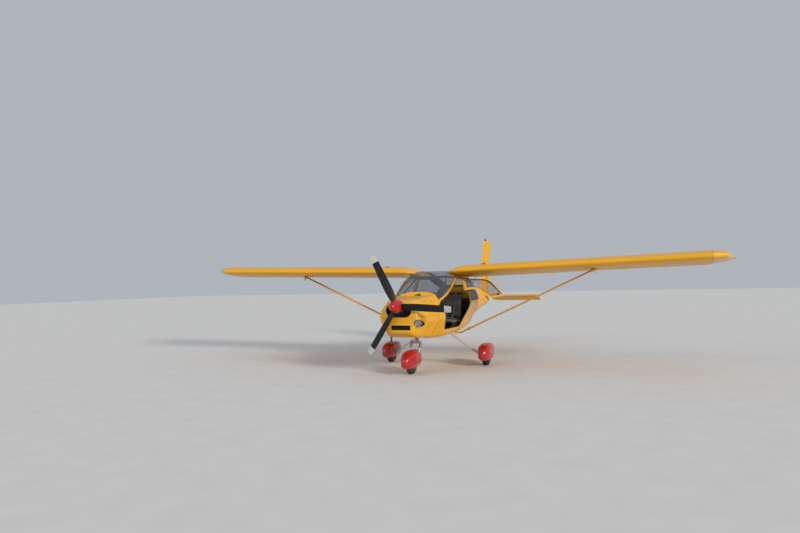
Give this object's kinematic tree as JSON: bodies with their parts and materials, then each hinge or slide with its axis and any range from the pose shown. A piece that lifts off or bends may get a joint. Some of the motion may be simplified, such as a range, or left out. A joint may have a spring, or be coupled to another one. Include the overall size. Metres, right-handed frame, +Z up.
{
  "type": "microlight aircraft",
  "caption": "High-wing side-by-side microlight aeroplane with a tractor propeller, spatted nosewheel gear and a door standing open under the wing.",
  "frame": {"origin": "on the ground under the centre of the bounding box", "axes": "+X to the pilot's left (port), -Y out of the nose, +Z up"},
  "size_m": [10.0898, 6.279, 2.536],
  "materials": {
    "yellow_skin": "gloss paint",
    "yellow_metal": "gloss paint",
    "yellow_tube": "gloss paint",
    "yellow_fabric": "gloss paint",
    "red_gloss": "gloss paint",
    "clear_glazing": "clear",
    "lamp_glass": "clear",
    "black_blade": "satin",
    "tyre_rubber": "matte",
    "rim_alloy": "satin",
    "gear_steel": "gloss paint",
    "engine_dark": "matte",
    "frame_dark": "satin",
    "trim_black": "matte",
    "seat_cloth": "woven",
    "exhaust_steel": "heat stained"
  },
  "bodies": {
    "airframe": {"cabin_shell": "yellow_skin", "windscreen": "clear_glazing", "roof_glazing": "clear_glazing", "side_windows": "clear_glazing", "cowl_upper": "yellow_skin", "cowl_lower": "yellow_skin", "engine_block": "engine_dark", "landing_light": "rim_alloy", "wing_port": "yellow_metal", "wing_starboard": "yellow_metal", "wing_tips": "yellow_skin", "wing_roots": "yellow_skin", "wing_struts": "yellow_tube", "tail_cone": "yellow_metal", "tailplane": "yellow_fabric", "fin": "yellow_fabric", "tail_stays": "yellow_tube", "spat_port": "red_gloss", "spat_starboard": "red_gloss", "main_legs": "gear_steel", "nose_socket": "gear_steel", "seats": "trim_black", "seat_cushions": "seat_cloth", "cabin_floor": "trim_black", "instrument_panel": "trim_black", "control_stick": "trim_black", "cabin_frame": "frame_dark", "exhaust_pipe": "exhaust_steel", "lamps": "lamp_glass"},
    "propeller": {"propeller": "black_blade", "spinner": "red_gloss"},
    "nose_leg": {"nose_fork": "gear_steel", "nose_spat": "red_gloss"},
    "nose_wheel": {"tyre_nose": "tyre_rubber", "rim_nose": "rim_alloy"},
    "wheel_port": {"tyre_port": "tyre_rubber", "rim_port": "rim_alloy"},
    "wheel_starboard": {"tyre_starboard": "tyre_rubber", "rim_starboard": "rim_alloy"},
    "door_port": {"door_port": "yellow_skin", "door_port_glass": "clear_glazing"},
    "door_starboard": {"door_starboard": "yellow_skin", "door_starboard_glass": "clear_glazing"},
    "flaperon_port": {"flaperon_port": "yellow_fabric"},
    "flaperon_starboard": {"flaperon_starboard": "yellow_fabric"},
    "elevator": {"elevator": "yellow_fabric"},
    "rudder": {"rudder": "yellow_fabric"}
  },
  "joints": [
    {"name": "propeller_spin", "type": "hinge", "parent": "airframe", "child": "propeller", "pos_m": [0, -2.862, 1.157], "axis": [0, 1, 0], "continuous": true},
    {"name": "nose_steer", "type": "hinge", "parent": "airframe", "child": "nose_leg", "pos_m": [0, -2.04, 0.505], "axis": [0, 0.5981, 0.8014], "range_deg": [-20, 20]},
    {"name": "nose_wheel_spin", "type": "hinge", "parent": "nose_leg", "child": "nose_wheel", "pos_m": [0, -2.29, 0.17], "axis": [1, 0, 0], "continuous": true},
    {"name": "wheel_port_spin", "type": "hinge", "parent": "airframe", "child": "wheel_port", "pos_m": [0.94, -0.985, 0.17], "axis": [1, 0, 0], "continuous": true},
    {"name": "wheel_starboard_spin", "type": "hinge", "parent": "airframe", "child": "wheel_starboard", "pos_m": [-0.94, -0.985, 0.17], "axis": [1, 0, 0], "continuous": true},
    {"name": "door_port_hinge", "type": "hinge", "parent": "airframe", "child": "door_port", "pos_m": [0.49, -0.94, 1.594], "axis": [0, -1, 0], "range_deg": [-70, 0]},
    {"name": "door_starboard_hinge", "type": "hinge", "parent": "airframe", "child": "door_starboard", "pos_m": [-0.49, -0.94, 1.594], "axis": [0, 1, 0], "range_deg": [0, 70]},
    {"name": "flaperon_port_hinge", "type": "hinge", "parent": "airframe", "child": "flaperon_port", "pos_m": [2.63044, -0.32525, 1.72003], "axis": [0.9996, 0, 0.0274], "range_deg": [-30, 20]},
    {"name": "flaperon_starboard_hinge", "type": "hinge", "parent": "airframe", "child": "flaperon_starboard", "pos_m": [-2.63044, -0.32525, 1.72003], "axis": [0.9996, 0, -0.0274], "range_deg": [-30, 20]},
    {"name": "elevator_hinge", "type": "hinge", "parent": "airframe", "child": "elevator", "pos_m": [0, 2.65, 1.16], "axis": [1, 0, 0], "range_deg": [0, 45]},
    {"name": "rudder_hinge", "type": "hinge", "parent": "airframe", "child": "rudder", "pos_m": [0, 2.56228, 1.16], "axis": [0, 0.2693, 0.963], "range_deg": [-25, 25]}
  ]
}
